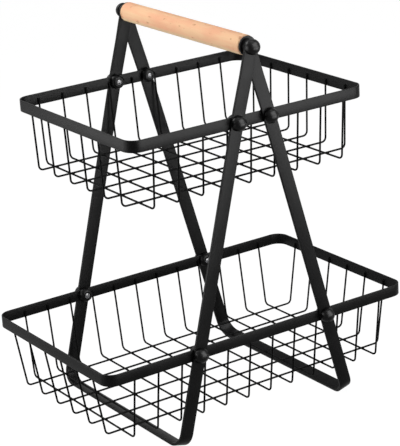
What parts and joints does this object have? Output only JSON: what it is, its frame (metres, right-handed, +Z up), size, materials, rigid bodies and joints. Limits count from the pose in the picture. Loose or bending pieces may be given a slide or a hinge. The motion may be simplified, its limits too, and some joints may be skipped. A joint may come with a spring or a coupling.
{
  "type": "tiered wire basket",
  "caption": "Tabletop stand with a small wire basket above a larger one, carried on two leaning U-shaped flat-bar frames that meet at a round wooden carrying handle.",
  "frame": {"origin": "on the worktop, midway between the foot bars and midway between the front and rear legs", "axes": "+Z up from the worktop, X along the baskets' long sides, Y along the handle from front to rear"},
  "size_m": [0.366, 0.2448, 0.4005],
  "materials": {
    "black_bar": "satin black powder coat on steel flat bar",
    "black_wire": "satin black powder coat on round steel wire",
    "black_knob": "semi-gloss black moulded plastic",
    "black_cap": "semi-gloss black coat on turned metal",
    "zinc_steel": "bright zinc plate",
    "beech": "pale beech, sanded and lightly oiled, fine dark flecks along the grain"
  },
  "bodies": {
    "root": {"handle_front_disc": "black_cap", "handle_front_insert": "zinc_steel", "handle_front_knob": "black_knob", "handle_grip": "beech", "handle_rear_disc": "black_cap", "handle_rear_insert": "zinc_steel", "handle_rear_knob": "black_knob", "handle_studs": "zinc_steel", "left_frame": "black_bar", "lower_cross_wire_1": "black_wire", "lower_cross_wire_10": "black_wire", "lower_cross_wire_11": "black_wire", "lower_cross_wire_12": "black_wire", "lower_cross_wire_2": "black_wire", "lower_cross_wire_3": "black_wire", "lower_cross_wire_4": "black_wire", "lower_cross_wire_5": "black_wire", "lower_cross_wire_6": "black_wire", "lower_cross_wire_7": "black_wire", "lower_cross_wire_8": "black_wire", "lower_cross_wire_9": "black_wire", "lower_front_left_knob": "black_knob", "lower_front_right_knob": "black_knob", "lower_long_wire_1": "black_wire", "lower_long_wire_2": "black_wire", "lower_long_wire_3": "black_wire", "lower_long_wire_4": "black_wire", "lower_long_wire_5": "black_wire", "lower_long_wire_6": "black_wire", "lower_nuts": "black_cap", "lower_rear_left_knob": "black_knob", "lower_rear_right_knob": "black_knob", "lower_rim": "black_bar", "lower_studs": "zinc_steel", "right_frame": "black_bar", "upper_cross_wire_1": "black_wire", "upper_cross_wire_2": "black_wire", "upper_cross_wire_3": "black_wire", "upper_cross_wire_4": "black_wire", "upper_cross_wire_5": "black_wire", "upper_cross_wire_6": "black_wire", "upper_cross_wire_7": "black_wire", "upper_cross_wire_8": "black_wire", "upper_cross_wire_9": "black_wire", "upper_front_left_knob": "black_knob", "upper_front_right_knob": "black_knob", "upper_long_wire_1": "black_wire", "upper_long_wire_2": "black_wire", "upper_long_wire_3": "black_wire", "upper_long_wire_4": "black_wire", "upper_long_wire_5": "black_wire", "upper_long_wire_6": "black_wire", "upper_nuts": "black_cap", "upper_rear_left_knob": "black_knob", "upper_rear_right_knob": "black_knob", "upper_rim": "black_bar", "upper_studs": "zinc_steel"}
  },
  "joints": []
}
